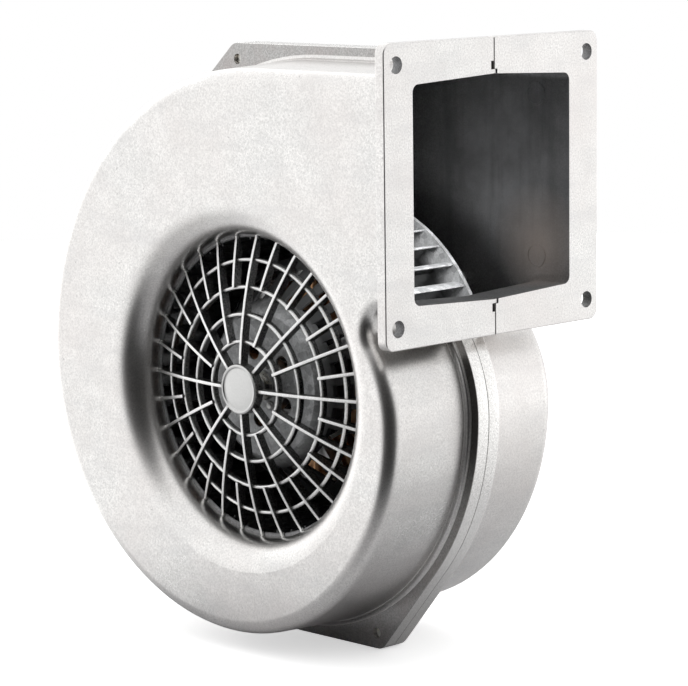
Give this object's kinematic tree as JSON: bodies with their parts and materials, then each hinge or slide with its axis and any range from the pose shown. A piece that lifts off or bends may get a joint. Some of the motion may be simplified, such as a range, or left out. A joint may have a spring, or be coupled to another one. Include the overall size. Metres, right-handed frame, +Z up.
{
  "type": "centrifugal blower fan",
  "caption": "Single-inlet centrifugal blower: die-cast scroll with a flanged outlet, a domed inlet guard and a forward-curved impeller on an internal brushless motor.",
  "frame": {"origin": "centre of the outlet flange's face, which is the centre of its four bolt holes", "axes": "+X out of the outlet, +Z up, and the inlet faces -Y; the seam of the two halves is the plane Y = 0 and the fan axis runs along Y through x = -0.095, z = -0.081625"},
  "size_m": [0.2135, 0.118, 0.2426],
  "materials": {
    "cast_aluminium": "bead-blasted, as cast",
    "guard_aluminium": "tumbled, bright",
    "galvanised_sheet": "zinc coated sheet",
    "machined_aluminium": "machined",
    "machined_steel": "turned",
    "rivet_aluminium": "plain",
    "zinc_steel": "zinc plated",
    "bearing_steel": "ground and polished",
    "lamination_steel": "stacked sheets with a clear coat",
    "ferrite": "sintered, matt",
    "insulator_plastic": "moulded",
    "copper_wire": "enamelled windings",
    "seal_rubber": "matt black",
    "board_green": "solder mask",
    "component_black": "moulded",
    "black_plastic": "fine grain"
  },
  "bodies": {
    "casing": {"front_housing": "cast_aluminium", "rear_housing": "cast_aluminium", "housing_screws": "zinc_steel", "inlet_guard": "guard_aluminium", "bearing_outer_races": "bearing_steel", "preload_washer": "zinc_steel", "front_bearing_bracket": "machined_aluminium", "stator_core": "lamination_steel", "stator_insulators": "insulator_plastic", "stator_windings": "copper_wire", "stator_screws": "zinc_steel", "motor_flange": "machined_aluminium", "motor_gasket": "seal_rubber", "motor_screws": "zinc_steel", "circuit_board": "board_green", "board_components": "component_black", "board_screws": "zinc_steel", "electronics_cover": "black_plastic", "cover_screws": "zinc_steel", "cable_grommet": "seal_rubber"},
    "rotor": {"impeller_blades": "galvanised_sheet", "impeller_front_ring": "galvanised_sheet", "impeller_back_ring": "galvanised_sheet", "impeller_hub_plate": "galvanised_sheet", "hub_bush": "machined_steel", "hub_rivets": "rivet_aluminium", "motor_shaft": "machined_steel", "retaining_rings": "zinc_steel", "rotor_core": "lamination_steel", "rotor_magnets": "ferrite", "bearing_inner_races": "bearing_steel", "bearing_balls": "bearing_steel"}
  },
  "joints": [
    {"name": "impeller_spin", "type": "hinge", "parent": "casing", "child": "rotor", "pos_m": [-0.095, 0, -0.08163], "axis": [0, 1, 0], "continuous": true}
  ]
}
